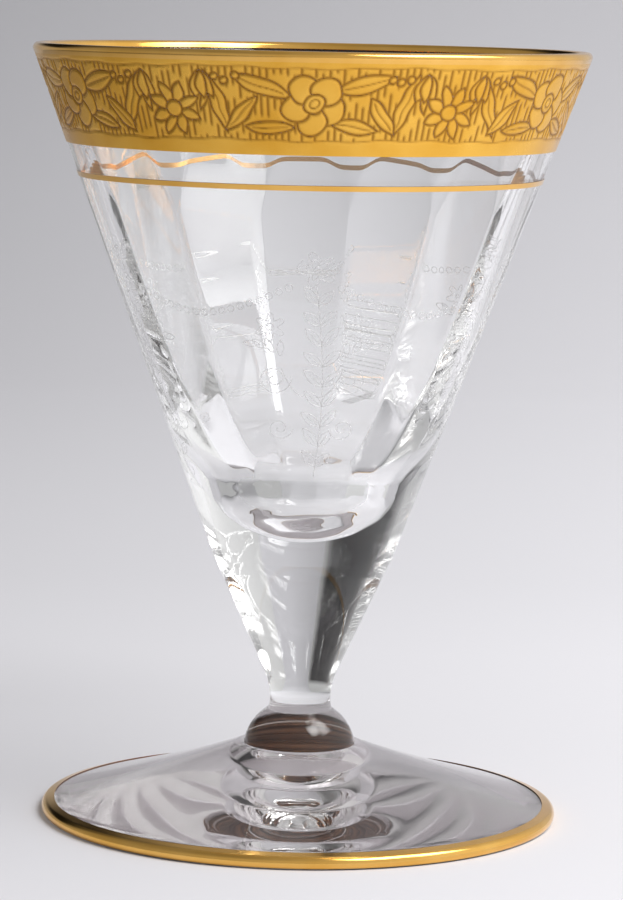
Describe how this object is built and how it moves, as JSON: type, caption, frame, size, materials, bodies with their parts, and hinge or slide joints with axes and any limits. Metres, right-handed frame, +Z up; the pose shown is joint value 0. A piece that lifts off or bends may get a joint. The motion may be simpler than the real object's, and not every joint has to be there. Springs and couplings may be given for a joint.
{
  "type": "footed tumbler",
  "caption": "Small footed drinking glass: conical bowl with inner optic panels, tapered stem, rounded knop and spread foot, gilded at rim and foot.",
  "frame": {"origin": "centre of the foot's resting plane, on the glass's axis", "axes": "+Z up along the axis to the rim; -Y is the side that faces the camera in the picture"},
  "size_m": [0.073, 0.073, 0.102],
  "materials": {
    "clear_glass": "clear, fire polished",
    "bright_gold": "burnished gilding",
    "etched_gold": "satin gilding over an etched ornament"
  },
  "bodies": {
    "root": {"foot": "clear_glass", "knop": "clear_glass", "stem": "clear_glass", "bowl": "clear_glass", "gold_lip": "bright_gold", "gold_band": "etched_gold", "gold_hairline": "bright_gold", "gold_foot_edge": "bright_gold"}
  },
  "joints": []
}
